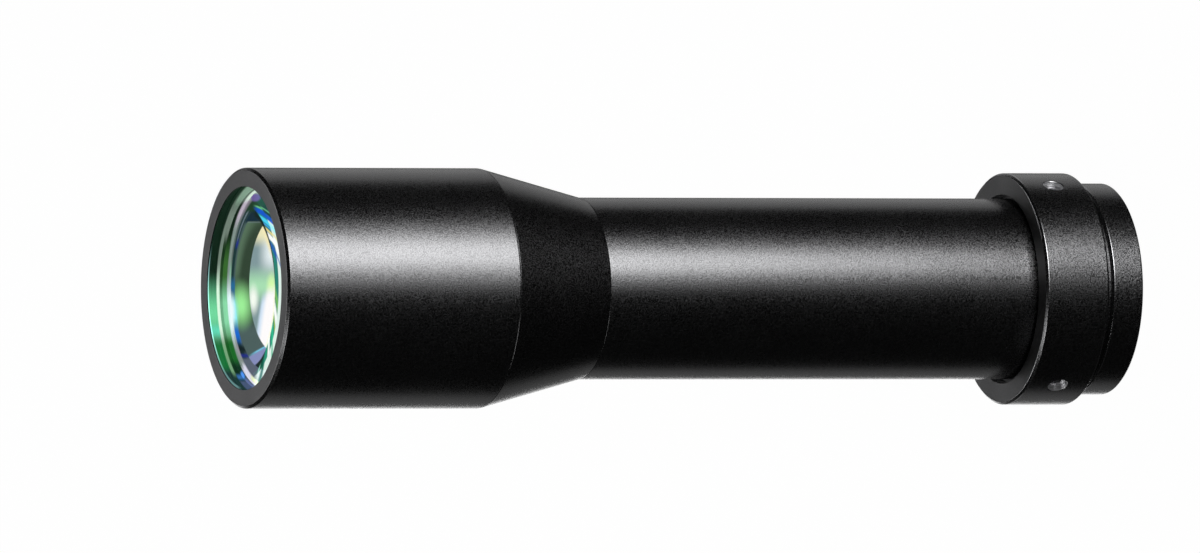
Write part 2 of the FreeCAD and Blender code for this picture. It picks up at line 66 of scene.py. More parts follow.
# %% Profiles with broken corners
def broken(corners, radius=0.12, steps=3, hold=0.25):
    """A closed profile of (radius, height) corners in mm, each corner an arc of the given radius.

    At a corner P the arc starts at P + t*u and ends at P + t*v, where u and v point to the two
    neighbours and t = radius / tan(half the corner's angle). Its points are the rational
    quadratic curve through those ends with weight sin(half angle) at P, which is a true circle.
    A corner may carry its own radius as a third number.
    """
    points = np.array([c[:2] for c in corners], float)
    radii = np.array([c[2] if len(c) > 2 else radius for c in corners], float)
    to_last = np.roll(points, 1, 0) - points
    to_next = np.roll(points, -1, 0) - points
    run_last = np.linalg.norm(to_last, axis=1)
    run_next = np.linalg.norm(to_next, axis=1)
    u = to_last / run_last[:, None]
    v = to_next / run_next[:, None]
    half = 0.5 * np.arccos(np.clip((u * v).sum(1), -1, 1))
    shortest = np.minimum(run_last, run_next)
    reach = np.minimum(radii / np.tan(half), 0.42 * shortest)
    lead = reach + np.minimum(hold, 0.06 * shortest)
    s = np.linspace(0, 1, steps + 1)[None, :, None]
    weight = np.sin(half)[:, None, None]
    start = (points + u * reach[:, None])[:, None]
    end = (points + v * reach[:, None])[:, None]
    pull = 2 * weight * s * (1 - s)
    arc = (1 - s) ** 2 * start + pull * points[:, None] + s ** 2 * end
    arc = arc / ((1 - s) ** 2 + pull + s ** 2)
    first = (points + u * lead[:, None])[:, None]
    last = (points + v * lead[:, None])[:, None]
    return np.concatenate([first, arc, last], 1).reshape(-1, 2)


print("a broken square has", len(broken([(0, 0), (1, 0), (1, 1), (0, 1)])), "points")


# %% [markdown]
# A profile becomes a surface of revolution: a grid with one row for each profile point and one
# column for each step round the axis. Spin would do it by hand. As a formula the grid is closed
# both ways from the start, and a row may also change its radius on the way round, which is all
# that a screw thread needs.


# %% Surfaces of revolution
def swung(profile, height=0.0, ripple=0.0):
    """Vertices and quads of a closed profile swung about the optical axis, in metres.

    Point (i, j) is ((r_i + ripple_ij) cos a_j, (r_i + ripple_ij) sin a_j, z_i + height) with
    a_j = 2 pi j / AROUND.
    """
    angle = np.arange(AROUND) * TURN / AROUND
    r = (profile[:, 0:1] + ripple) * MM
    z = (profile[:, 1:2] + height) * MM
    grid = np.stack([r * np.cos(angle), r * np.sin(angle), z + 0 * angle], -1)
    rows = len(profile)
    i, j = np.meshgrid(np.arange(rows), np.arange(AROUND), indexing="ij")
    up, on = (i + 1) % rows * AROUND, (j + 1) % AROUND
    quads = np.stack([i * AROUND + j, i * AROUND + on, up + on, up + j], -1)
    return grid.reshape(-1, 3), quads.reshape(-1, 4).tolist()


def capped(profile, around=AROUND):
    """Vertices and faces of an open profile that starts and ends on the axis, in metres.

    The points between the ends are swung as in swung(). Each end is a pole closed by a fan of
    triangles. The faces come row by row, then the first fan and the last.
    """
    angle = np.arange(around) * TURN / around
    r, z = profile[1:-1, 0:1] * MM, profile[1:-1, 1:2] * MM
    grid = np.stack([r * np.cos(angle), r * np.sin(angle), z + 0 * angle], -1)
    poles = np.array([[0, 0, profile[0, 1]], [0, 0, profile[-1, 1]]]) * MM
    rows = len(r)
    i, j = np.meshgrid(np.arange(rows - 1) * around, np.arange(around), indexing="ij")
    on = (j + 1) % around
    quads = np.stack([i + j, i + on, i + around + on, i + around + j], -1).reshape(-1, 4)
    j = np.arange(around)
    on, base, pole = (j + 1) % around, (rows - 1) * around, np.full(around, rows * around)
    first = np.stack([on, j, pole], -1)
    last = np.stack([base + j, base + on, pole + 1], -1)
    return np.concatenate([grid.reshape(-1, 3), poles]), quads.tolist() + first.tolist() + last.tolist()


print("a swung square has", len(swung(broken([(1, 0), (2, 0), (2, 1), (1, 1)]))[1]), "faces")


# %% [markdown]
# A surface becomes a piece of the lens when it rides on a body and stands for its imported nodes.
# Smooth shading with edges kept sharp above 35 degrees reads as turned metal. All of it could be
# one big mesh, but separate pieces keep their names and can come apart as the real ones do.


# %% Pieces of the lens
def solid_mesh(name, surface):
    """A mesh of points and faces, with every face turned outwards."""
    points, faces = surface
    mesh = bpy.data.meshes.new(name)
    mesh.from_pydata(points.tolist(), [], faces)
    working = bmesh.new()
    working.from_mesh(mesh)
    bmesh.ops.recalc_face_normals(working, faces=working.faces)
    working.to_mesh(mesh)
    working.free()
    return mesh


def piece(name, surface, body, *nodes):
    """An object that rides on a body and stands for the named CAD nodes."""
    mesh = solid_mesh(name, surface)
    mesh.shade_smooth()
    mesh.set_sharp_from_angle(angle=SHARP)
    obj = bpy.data.objects.new(name, mesh)
    scene.collection.objects.link(obj)
    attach(obj, body)
    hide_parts(*nodes)
    print(name, len(mesh.polygons), "faces")
    return obj


def heights(node):
    """The lowest and highest z of a CAD node, in mm."""
    low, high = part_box(node)
    return low.z / MM, high.z / MM


print("the clamp ring lies from", *(round(z, 2) for z in heights("clamp_ring")), "mm up")


# %% [markdown]
# The main planes of the lens are read from the frame, so the dressed pieces land on the packed
# ones. A facetted circle in the frame can be a few hundredths of a millimetre short of its true
# radius, so the radii that a maker would quote are written as real sizes. Only the front lip is
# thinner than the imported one, because the photograph shows the glass nearly flush with it.

# %% Main planes and sizes, in mm
tube_base, spigot_top = heights("main_tube")
mount_base, mount_top = heights("camera_mount")
ring_base, ring_front = heights("clamp_ring")
barrel_base, barrel_top = heights("front_barrel")
taper_base, taper_top = heights("taper_housing")
barrel_r, barrel_bore_r, barrel_thread_r, barrel_thread = 30.0, 26.6, 28.0, 8.0
barrel_chamfer, lip_r, lip = 0.65, 25.3, 0.35
taper_spigot_r, taper_mouth_r, taper_throat_r, socket_r, socket = 27.9, 25.5, 20.0, 20.85, 11.4
tube_r, tube_rear_bore_r, tube_front_bore_r = 22.75, 19.5, 18.5
tube_ledge_r, tube_spigot_r = 17.5, 20.75
pilot_r, pilot, flange_r, flange, cell_seat, stop_seat = 21.4, 4.0, 25.2, 3.0, 44.6, 74.3
ring_r, ring_bore_r, ring_lip_r, ring_lip, ring_chamfer = 29.15, 25.5, 23.7, 2.5, 0.55
cap_r, cap_length, cap_chamfer, spigot_r, vee = 26.6, 8.3, 0.4, 25.4, 1.9
mount_bore_r, mount_seat, light_r = 21.48, 0.3, 19.0
thread_r, thread_root, thread_pitch, thread_start, thread_end = 20.5, 0.54, 1.0, 0.5, 7.0
screw_height = (ring_base + ring_front) / 2
screw_turns = [math.radians(-26.6 + 120 * k) for k in range(3)]
hole_r, hole_chamfer = 2.5, 0.25
print("overall length", round(barrel_top - mount_base, 2), "mm")

# %% [markdown]
# The front barrel is one sleeve. Its front lip holds the glass, and its chamfer is the fine edge
# round the front face. The wall is drawn as a closed profile, so the bore and the thread recess
# are real and the sleeve is hollow.

# %% Front barrel
barrel_length = barrel_top - barrel_base
front_barrel = piece("front_barrel_turned", swung(broken([
    (barrel_thread_r, 0),
    (barrel_r, 0, 0.16),
    (barrel_r, barrel_length - barrel_chamfer, 0.18),
    (barrel_r - barrel_chamfer, barrel_length, 0.18),
    (lip_r, barrel_length, 0.18),
    (lip_r, barrel_length - lip),
    (barrel_bore_r, barrel_length - lip),
    (barrel_bore_r, barrel_thread),
    (barrel_thread_r, barrel_thread),
]), barrel_base), "lens_body", "front_barrel")

# %% [markdown]
# The taper housing joins the wide barrel to the tube. At both of its joints the two broken edges
# meet in a hair-thin groove, which reads as a dark line. It could be a lofted cone, but a profile
# keeps its socket and its spigot in the same piece, as the lathe does.

# %% Taper housing
taper_length = barrel_base - taper_base
taper_housing = piece("taper_housing_turned", swung(broken([
    (socket_r, 0),
    (tube_r, 0, 0.16),
    (barrel_r, taper_length, 0.16),
    (taper_spigot_r, taper_length),
    (taper_spigot_r, taper_top - taper_base),
    (taper_mouth_r, taper_top - taper_base),
    (taper_throat_r, socket),
    (socket_r, socket),
]), taper_base), "lens_body", "taper_housing")

# %% [markdown]
# The main tube carries the flange that the clamp ring hooks over, and the pilot that turns in the
# camera mount. Inside it steps down twice, for the stop and for the rear cell to seat against.

# %% Main tube
tube_length = taper_base - tube_base
main_tube = piece("main_tube_turned", swung(broken([
    (tube_rear_bore_r, 0),
    (pilot_r, 0),
    (pilot_r, pilot),
    (flange_r, pilot),
    (flange_r, pilot + flange),
    (tube_r, pilot + flange),
    (tube_r, tube_length, 0.16),
    (tube_spigot_r, tube_length),
    (tube_spigot_r, spigot_top - tube_base),
    (tube_front_bore_r, spigot_top - tube_base),
    (tube_front_bore_r, stop_seat),
    (tube_ledge_r, stop_seat),
    (tube_ledge_r, cell_seat),
    (tube_rear_bore_r, cell_seat),
]), tube_base), "lens_body", "main_tube")

# %% [markdown]
# The camera mount ends in a female screw thread for the camera. A thread is a spiral: at each
# height the wall moves in and out as the angle goes round, one pitch for one turn. A Screw
# modifier could sweep one tooth, but adding the spiral to the radius of the same closed grid
# keeps the mount in one watertight piece.


# %% Camera mount and its thread
def spiral(z, start, end, pitch, depth):
    """How far a female thread's wall lies outside its crests, for rows z and all angles.

    The depth times a triangle wave of (z / pitch - angle / turn), faded to nothing over half a
    pitch at both ends and clipped a little at its crests and roots.
    """
    phase = z[:, None] / pitch - np.arange(AROUND)[None] / AROUND
    wave = np.clip(1.35 * np.abs(2 * (phase - np.floor(phase)) - 1) - 0.175, 0, 1)
    fade = np.clip(2 * np.minimum(z - start, end - z) / pitch, 0, 1)
    return depth * wave * fade[:, None]


mount_outline = broken([
    (thread_r + 0.5, 0, 0.1),
    (cap_r - cap_chamfer, 0, 0.12),
    (cap_r, cap_chamfer, 0.12),
    (cap_r, cap_length - cap_chamfer, 0.3),
    (cap_r - cap_chamfer, cap_length, 0.3),
    (spigot_r, cap_length),
    (spigot_r, screw_height - vee),
    (spigot_r - vee, screw_height),
    (spigot_r, screw_height + vee),
    (spigot_r, mount_top),
    (mount_bore_r, mount_top),
    (mount_bore_r, tube_base - mount_seat),
    (light_r, tube_base - mount_seat),
    (light_r, thread_end),
    (thread_r, thread_end, 0.02),
    (thread_r, thread_start, 0.02),
])
thread_rows, thread_runout, corner_points = 60, 0.06, 6
rows_of_thread = np.linspace(thread_end - thread_runout, thread_start + thread_runout, thread_rows)
cut_row = len(mount_outline) - corner_points
mount_profile = np.concatenate([
    mount_outline[:cut_row],
    np.stack([np.full(thread_rows, thread_r), rows_of_thread], -1),
    mount_outline[cut_row:],
])
mount_ripple = np.zeros((len(mount_profile), AROUND))
mount_ripple[cut_row:cut_row + thread_rows] = spiral(
    rows_of_thread, thread_start, thread_end, thread_pitch, thread_root)
camera_mount = piece("camera_mount_turned", swung(mount_profile, 0, mount_ripple), "mount",
                     "camera_mount")

# %% [markdown]
# The clamp ring is turned first and then drilled three times square to the axis, as at the bench.
# The holes are cut with an exact boolean that is applied at once, so the ring keeps the finished
# mesh. Each drill is a small capped profile laid along a radial line.

# %% Clamp ring
ring_length = ring_front - ring_base
clamp_ring = piece("clamp_ring_turned", swung(broken([
    (ring_bore_r, 0),
    (ring_r - ring_chamfer, 0, 0.15),
    (ring_r, ring_chamfer, 0.3),
    (ring_r, ring_length - ring_chamfer, 0.3),
    (ring_r - ring_chamfer, ring_length, 0.3),
    (ring_lip_r, ring_length, 0.2),
    (ring_lip_r, ring_length - ring_lip),
    (ring_bore_r, ring_length - ring_lip),
]), ring_base), "mount", "clamp_ring")

# %% [markdown]
# Three set screws reach the camera mount through radial holes, so the ring is drilled through its
# wall. Each hole is a plain bore with a small countersink at its mouth. A painted dark disc would
# fail from the side, where the wall of the hole catches the light.


# %% Its radial holes
DRILL_AROUND = 64


def radial(profile, turn, height):
    """A capped profile of (radius, distance) laid along a radial line of the lens.

    A point (x, y, d) of the upright drill goes to d along the direction of the given turn,
    x along the optical axis and y square to both, then up to the given height.
    """
    points, faces = capped(profile, DRILL_AROUND)
    out = np.array([math.cos(turn), math.sin(turn), 0])
    side = np.array([-math.sin(turn), math.cos(turn), 0])
    lift = np.array([0, 0, 1.0])
    laid = points[:, 2:3] * out + points[:, 0:1] * lift + points[:, 1:2] * side
    return laid + lift * height * MM, faces


def drill(obj, profile, turns, height):
    """Cuts the same radial hole at each turn and keeps the finished mesh."""
    for turn in turns:
        cutter = bpy.data.objects.new("drill", solid_mesh("drill", radial(profile, turn, height)))
        scene.collection.objects.link(cutter)
        cut = obj.modifiers.new("drill", "BOOLEAN")
        cut.operation, cut.solver, cut.object = "DIFFERENCE", "EXACT", cutter
        bpy.context.view_layer.update()
        solved = obj.evaluated_get(bpy.context.evaluated_depsgraph_get())
        drilled = bpy.data.meshes.new_from_object(solved)
        obj.modifiers.clear()
        obj.data = drilled
        cutter_mesh = cutter.data
        bpy.data.objects.remove(cutter)
        bpy.data.meshes.remove(cutter_mesh)
    obj.data.shade_smooth()
    obj.data.set_sharp_from_angle(angle=SHARP)


drill_tip = ring_bore_r - 2
drill(clamp_ring, np.array([
    (0, drill_tip),
    (hole_r, drill_tip),
    (hole_r, ring_r - hole_chamfer),
    (hole_r + 2 * hole_chamfer, ring_r + hole_chamfer),
    (0, ring_r + hole_chamfer),
]), screw_turns, screw_height)
print("clamp ring after drilling:", len(clamp_ring.data.polygons), "faces")

# %% [markdown]
# A lens is two spherical faces and a ground edge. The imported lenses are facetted, and through
# glass every facet shows, so each one is ground again here as a smooth surface. A UV sphere cut
# with booleans would also do, but a profile gives an even grid, and each row of faces is known to
# be front, edge or rear, so each can have its own finish. The front face is a little flatter and
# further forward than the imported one, to lie nearly flush with the lip.


# %% Ground lenses
def cap_curve(curve, rim, vertex, count=40):
    """A spherical face's (radius, height) points from the axis to the rim.

    Height is vertex - sign(curve) * (|curve| - sqrt(curve^2 - r^2)), so a positive curve
    bulges up. A curve of 0 is flat.
    """
    r = np.linspace(0, rim, count)
    if curve == 0:
        return np.stack([r, vertex + 0 * r], -1)
    fall = math.copysign(1, curve) * (abs(curve) - np.sqrt(curve ** 2 - r ** 2))
    return np.stack([r, vertex - fall], -1)


def ground(name, front, rear, thickness, rim, vertex, node, bevel=0.25):
    """A lens from its front vertex, its faces marked 0 for front, 1 for edge and 2 for rear."""
    top = cap_curve(front, rim - bevel, vertex)
    bottom = cap_curve(rear, rim - bevel, vertex - thickness)[::-1]
    edge = np.array([(rim, top[-1, 1] - bevel), (rim, bottom[0, 1] + bevel)])
    lens = piece(name, capped(np.concatenate([top, edge, bottom])), "lens_body", node)
    row_marks = [0] * (len(top) - 2) + [1] * 3 + [2] * (len(bottom) - 2)
    marks = np.concatenate([np.repeat(row_marks, AROUND), np.zeros(AROUND, int), np.full(AROUND, 2)])
    for _ in range(3):
        lens.data.materials.append(None)
    lens.data.polygons.foreach_set("material_index", marks.astype(np.int32))
    return lens


front_rim, rear_rim, cement, flint_rise = 26.5, 17.0, 0.1, 0.22
front_flint = ground("front_flint_ground", 1100, 75, 4 + flint_rise, front_rim,
                     heights("front_flint_lens")[1] + flint_rise, "front_flint_lens")
front_crown = ground("front_crown_ground", 75, -110, 13.0, front_rim, heights("front_crown_lens")[1],
                     "front_crown_lens")
front_singlet = ground("front_singlet_ground", 90, 0, 9.0, front_rim, heights("front_singlet_lens")[1],
                       "front_singlet_lens")
rear_singlet = ground("rear_singlet_ground", 50, 0, 7.0, rear_rim, heights("rear_singlet_lens")[1],
                      "rear_singlet_lens")
rear_crown_vertex, rear_crown_thick = heights("rear_crown_lens")[1], 9.0
rear_crown = ground("rear_crown_ground", 60, -45, rear_crown_thick, rear_rim, rear_crown_vertex,
                    "rear_crown_lens")
rear_flint = ground("rear_flint_ground", -45, -150, 3.0, rear_rim,
                    rear_crown_vertex - rear_crown_thick - cement, "rear_flint_lens")

# %% [markdown]
# The spacer stands between the front lenses and is seen through the glass, so it is turned again
# with smooth sides. Its bore has fine grooves, which on the real ring keep light from glancing off.

# %% Front spacer
spacer_low, spacer_high = heights("front_spacer")
spacer = spacer_high - spacer_low
spacer_bore_r, groove_count, groove_depth, land = 24.8, 7, 0.3, 0.5
half_groove = 0.5 * (spacer - 2 * land) / groove_count
grooves = [(spacer_bore_r + groove_depth * (k % 2), spacer - land - k * half_groove)
           for k in range(2 * groove_count + 1)]
spacer_walls = [(spacer_bore_r, 0), (front_rim, 0), (front_rim, spacer), (spacer_bore_r, spacer)]
front_spacer = piece("front_spacer_turned", swung(broken(spacer_walls + grooves, radius=0.05, steps=2),
                                                  spacer_low), "lens_body", "front_spacer")

# %% [markdown]
# Shader maths reads best as the sums that it is. A small class wraps a socket, so an expression
# such as 1 - mask * 0.4 lays its own nodes: Math nodes for numbers and Vector Math nodes for
# colours. One method of the tree makes every other node.


# %% Sockets that do arithmetic
class Value:
    """A socket on which + - * and ** work, with numbers, colours or other sockets."""

    def __init__(self, tree, socket):
        self.tree, self.socket = tree, socket
        self.wide = socket.type in ("RGBA", "VECTOR")

    def sum(self, operation, other, turned=False):
        """One math node on this socket and another, a wide one where either is a colour."""
        kind, items = "ShaderNodeMath", [other, self] if turned else [self, other]
        if self.wide or isinstance(other, tuple) or getattr(other, "wide", False):
            kind = "ShaderNodeVectorMath"
            items = [(item,) * 3 if isinstance(item, (int, float)) else item for item in items]
        return Value(self.tree, self.tree.node(kind, {"operation": operation}, *items).outputs[0])

    def __add__(self, other):
        return self.sum("ADD", other)

    def __radd__(self, other):
        return self.sum("ADD", other, True)

    def __sub__(self, other):
        return self.sum("SUBTRACT", other)

    def __rsub__(self, other):
        return self.sum("SUBTRACT", other, True)

    def __mul__(self, other):
        return self.sum("MULTIPLY", other)

    def __pow__(self, other):
        return self.sum("POWER", other)

    def __abs__(self):
        made = self.tree.node("ShaderNodeMath", {"operation": "ABSOLUTE"}, self)
        return Value(self.tree, made.outputs[0])

    def soft(self, low, high):
        """A smooth step: 0 up to low, 1 from high. With low above high it falls."""
        smooth = {"interpolation_type": "SMOOTHSTEP"}
        ramp = self.tree.node("ShaderNodeMapRange", smooth, self, low, high, 0.0, 1.0)
        return Value(self.tree, ramp.outputs[0])

    def hill(self, middle, reach):
        """A smooth hill: 1 at the middle, 0 from the reach on both sides."""
        return abs(self - middle).soft(reach, 0.0)


class Tree:
    """The node tree of a material or of the world, with one method that makes any node."""

    def __init__(self, owner):
        self.owner = bpy.data.materials.new(owner) if isinstance(owner, str) else owner
        self.owner.use_nodes = True
        self.nodes, self.links = self.owner.node_tree.nodes, self.owner.node_tree.links
        self.nodes.clear()

    def node(self, kind, settings=None, *inputs, **named):
        """A node of a type, its settings set first, then its sockets by place or by name."""
        made = self.nodes.new(kind)
        for key, value in (settings or {}).items():
            setattr(made, key, value)
        for key, value in list(enumerate(inputs)) + list(named.items()):
            socket = made.inputs[key if isinstance(key, int) else key.replace("_", " ")]
            if isinstance(value, Value):
                value = value.socket
            if isinstance(value, bpy.types.NodeSocket):
                self.links.new(value, socket)
            elif value is not None:
                socket.default_value = value
        return made

    def place(self):
        """The object's own coordinates in mm, as a point and as x, y and z."""
        metres = Value(self, self.node("ShaderNodeTexCoord").outputs["Object"])
        point = metres * (1 / MM)
        parts = self.node("ShaderNodeSeparateXYZ", None, point).outputs
        return point, Value(self, parts[0]), Value(self, parts[1]), Value(self, parts[2])

    def noise(self, point, scale):
        """Smooth noise between 0 and 1, with about scale waves to a millimetre."""
        return Value(self, self.node("ShaderNodeTexNoise", None, Vector=point, Scale=scale).outputs[0])

    def ray(self, *kinds):
        """1 for rays of the given kinds, such as Camera or Transmission, 0 for the rest."""
        path = self.node("ShaderNodeLightPath").outputs
        return sum(Value(self, path[f"Is {kind} Ray"]) for kind in kinds)

    def mix(self, base, cover, mask):
        """The cover colour over the base colour where the mask is 1."""
        made = self.node("ShaderNodeMix", {"data_type": "RGBA"}, mask)
        for socket, colour in ((made.inputs[6], base), (made.inputs[7], cover)):
            if isinstance(colour, Value):
                self.links.new(colour.socket, socket)
            else:
                socket.default_value = (*colour[:3], 1)
        return Value(self, made.outputs[2])

    def layers(self, colour, *covers):
        """A colour with covers laid over it in turn, each a pair of a colour and its mask."""
        for cover, mask in covers:
            colour = self.mix(colour, cover, mask)
        return colour

    def finish(self, shader):
        """Joins the shader to the output and hands back the material."""
        self.node("ShaderNodeOutputMaterial", None, shader.outputs[0])
        print("finish", self.owner.name, "from", len(self.nodes), "nodes")
        return self.owner

    def surface(self, **inputs):
        """Finishes with one Principled shader that has the given inputs."""
        return self.finish(self.node("ShaderNodeBsdfPrincipled", None, **inputs))


def ink(red, green, blue):
    """A colour given as it looks on a screen, 0 to 255, as the linear light a shader wants."""
    shown = np.array([red, green, blue]) / 255
    light = np.where(shown <= 0.04045, shown / 12.92, ((shown + 0.055) / 1.055) ** 2.4)
    return tuple(light.tolist())


print("mid grey on a screen is", round(ink(128, 128, 128)[0], 3), "as light")


# %% [markdown]
# Black anodised aluminium is dyed metal: it mirrors a little of the light in a wide soft sheen,
# and its bead-blasted skin breaks that sheen into fine grains. A plain dark Diffuse would look
# like rubber. So the base is a dark metal, the grain is a fine noise that changes how bright, how
# rough and how tilted each spot is, and broad faint clouds keep it from looking printed.

# %% Black anodised satin
GRAIN_SCALE, CLOUD_SCALE, ROUGHNESS = 3.3, 0.05, 0.28
INSIDE, WORN, BARE = (0.006, 0.007, 0.006), (0.42, 0.42, 0.43), (0.75, 0.75, 0.76)


def satin_nodes(tree, point, dye):
    """Grainy colour, roughness and normal of blasted, dyed metal, finer on the faced ends."""
    fine = tree.noise(point, GRAIN_SCALE)
    cloud = tree.noise(point, CLOUD_SCALE)
    faced = Value(tree, tree.node("ShaderNodeAttribute", {"attribute_name": "faced"}).outputs["Fac"])
    speck = (fine.soft(0.32, 0.72) - 0.45) * (1 - faced * 0.75)
    colour = (speck + 1) * (cloud * 0.3 + 0.85) * (faced * 0.5 + 1) * dye
    grain = (fine - 0.5) * (1 - faced * 0.6) * 0.55
    roughness = grain + (cloud - 0.5) * 0.06 + faced * 0.06 + ROUGHNESS
    bump = tree.node("ShaderNodeBump", None, Strength=0.8, Distance=0.00003, Height=fine)
    return colour, roughness, bump.outputs[0]


def anodised(name, dye, worn_edges=(), bare_holes=False, dark_r=0.0):
    """Satin metal, matt black inside dark_r.

    Its worn edges are circles of (radius, height, wear) that have gone brighter and smoother.
    With bare_holes the walls of the screw holes are bare metal.
    """
    tree = Tree(name)
    point, x, y, z = tree.place()
    colour, roughness, normal = satin_nodes(tree, point, dye)
    off_centre = (x * x + y * y) ** 0.5
    colour = tree.mix(colour, INSIDE, off_centre.soft(dark_r + 0.1, dark_r + 0.04))
    for edge_r, edge_z, wear in worn_edges:
        worn = ((off_centre - edge_r) ** 2 + (z - edge_z) ** 2).soft(0.03, 0.006) * wear
        colour = tree.mix(colour, WORN, worn)
        roughness = roughness - worn * 0.08
    if bare_holes:
        bare = 0
        for turn in screw_turns:
            along = x * math.cos(turn) + y * math.sin(turn)
            side = y * math.cos(turn) - x * math.sin(turn)
            off_axis = (side * side + (z - screw_height) ** 2) ** 0.5
            bare += off_axis.soft(hole_r + 0.12, hole_r + 0.05) * along.soft(10.0, 12.0)
        colour = tree.mix(colour, BARE, bare)
        roughness = roughness * (1 - bare) + bare * 0.45
    return tree.surface(Base_Color=colour, Metallic=1.0, Roughness=roughness, Normal=normal)


DYE = (0.130, 0.130, 0.133)
# The taper's darker dye is painted shade: the cone's faces turn away from the key light, so its satin
# is a darker copy of the others.
SHADED_DYE = (0.100, 0.100, 0.102)
tube_satin = anodised("satin_black_tube", DYE)
barrel_satin = anodised("satin_black_barrel", DYE, [
    (barrel_r, barrel_top - barrel_chamfer, 0.25),
    (barrel_r - barrel_chamfer, barrel_top, 0.35),
], dark_r=lip_r)
taper_satin_painted_shade = anodised("satin_black_taper", SHADED_DYE)
mount_satin = anodised("satin_black_mount", DYE, [
    (cap_r, cap_length - cap_chamfer, 1.0),
    (cap_r - cap_chamfer, cap_length, 1.0),
])
ring_satin = anodised("satin_black_clamp_ring", DYE, [
    (ring_r, ring_front - ring_chamfer, 1.0),
    (ring_r - ring_chamfer, ring_front, 1.0),
    (ring_r, ring_base + ring_chamfer, 1.0),
], bare_holes=True)


# %% [markdown]
# Inside, every wall is dead black, so that stray light is soaked up. That finish is a rough
# dielectric with hardly any sheen.


# %% Matt black inside
def matt_black(name):
    """Rough dark paint with a fine noise in its colour and roughness."""
    tree = Tree(name)
    point, x, y, z = tree.place()
    fine = tree.noise(point, 3.0)
    colour = (fine * 0.004 + 0.003) * (1.0, 1.0, 1.05)
    return tree.surface(Base_Color=colour, Roughness=0.55 + fine * 0.2, Specular_IOR_Level=0.25)


matt = matt_black("matt_black_inside")

# %% [markdown]
# Coated glass shows hardly any white reflection. Each face mirrors a thin slice of the colours
# instead, green and cyan face on and lavender at a slant, and the thick front group shows its
# ground edges through the front face as a stack of bright bands. So the front face is true
# refracting glass, and what is seen through it, the edges and the coated faces behind, carries
# these reflections and bands as painted light: a glow that is fixed to the lens, in its own
# coordinates.

# %% Colours of the painted reflections on the coating
DEEP_GREEN = ink(6, 30, 16)
EMERALD = ink(112, 219, 158)
MINT = ink(136, 220, 168)
PALE_GREEN = ink(218, 254, 226)
ICE = ink(226, 251, 252)
CYAN = ink(135, 236, 244)
PALE_LAVENDER = ink(215, 218, 235)
GRAY_GREEN = ink(112, 130, 117)
OLIVE = ink(47, 66, 49)
WARM_WHITE = ink(232, 231, 186)
WHITE = ink(252, 253, 251)
GLOW = 1.18
GLASS_BASE = (0.004, 0.006, 0.005, 1)


def painted_glow(tree, glow):
    """A nearly black, rough surface that gives off painted light as its own glow."""
    return tree.surface(Base_Color=GLASS_BASE, Roughness=0.6, Specular_IOR_Level=0.1,
                        Emission_Color=glow, Emission_Strength=GLOW)


# The painted light glows at these levels.
print("the glow of the coating, as light:", [round(level * GLOW, 2) for level in CYAN])

# %% [markdown]
# Looking in through the front face, the first thing behind it is the far wall of the group: the
# edge of the flint, the edge of the crown, the grooved spacer and the rim of the single lens. Each
# is a band of painted light at its own height, and each has a painted highlight a little below the
# middle, where the window light would fall on it. The bands are told apart by z, and the painted
# highlight is a smooth hill in x. Towards the top the glass bends the bands, so their limits rise
# or sag there.


# %% Ground edges seen through the front glass, as painted light
SPACER_FOOT, SPACER_TOP, CROWN_TOP = 212.7, 218.4, 221.25


def painted_edge_light(name):
    """Bands of painted light across the far wall of the front group, by height, each with a painted
    highlight a little low.
    """
    tree = Tree(name)
    point, x, y, z = tree.place()
    streak = (tree.noise(point * (0.25, 0.25, 3.0), 1.0) - 0.5) * 0.5
    flint_edge = tree.layers(
        DEEP_GREEN,
        (EMERALD, x.hill(-6.5, 11.0)),
        (ink(96, 226, 190), x.hill(-10.6, 2.4) * 0.8),
        (ink(20, 112, 52), x.soft(-12.4, -14.6)),
        (ink(24, 52, 50), x.soft(-19.0, -21.5)))
    crown_edge = tree.layers(
        ink(22, 50, 28),
        (GRAY_GREEN, x.soft(24.5, 18.0)),
        (ink(128, 160, 138), x.soft(19.5, 22.5) * z.soft(219.0, 217.8)),
        (PALE_GREEN, x.hill(-5.0, 12.5) * 1.5),
        (ink(118, 172, 122), x.soft(-11.5, -15.0) * 0.8),
        (ink(20, 50, 44), x.soft(-20.0, -22.5)))
    spacer_wall = tree.layers(
        ink(10, 30, 14),
        (ink(54, 104, 44), x.soft(14.0, 5.0)),
        (MINT, x.hill(-6.0, 9.5) * 1.2),
        (ink(26, 104, 38), x.soft(-11.5, -14.0)),
        (ink(12, 52, 30), x.soft(-17.0, -19.5)),
        (ink(100, 120, 105), x.soft(20.4, 22.0)))
    singlet_edge = tree.layers(
        ink(126, 145, 137),
        (ICE, x.hill(-6.0, 10.5) * 1.35),
        (ink(184, 176, 190), x.soft(13.5, 18.5)),
        (ink(214, 238, 220), x.soft(20.6, 22.4)),
        (PALE_LAVENDER, x.soft(-18.8, -20.4)))
    past_foot = z - x.soft(6.0, 21.0) * 1.2 - SPACER_FOOT
    past_spacer = z + x.soft(5.0, 27.0) * 2.2 - SPACER_TOP
    past_crown = z + x.soft(8.0, 22.0) * 1.4 - CROWN_TOP
    low_line = x + (z - 218.0) * 0.24
    on_spacer = z.hill(215.8, 3.2) * 1.6
    glow = tree.layers(
        singlet_edge,
        (spacer_wall, past_foot.soft(-0.7, 0.7)),
        (crown_edge, past_spacer.soft(-0.3, 0.3)),
        (DEEP_GREEN, past_spacer.hill(-0.45, 0.45) * (x.soft(-4.0, 4.0) * 0.4 + 0.45)),
        (ink(96, 112, 160), low_line.soft(-22.6, -23.4) * on_spacer),
        (ink(80, 150, 244), low_line.hill(-22.0, 1.1) * on_spacer),
        (flint_edge, past_crown.soft(-0.45, 0.45)))
    return painted_glow(tree, glow * (streak + 1.0))


painted_edge_bands = painted_edge_light("coated_glass_edge")
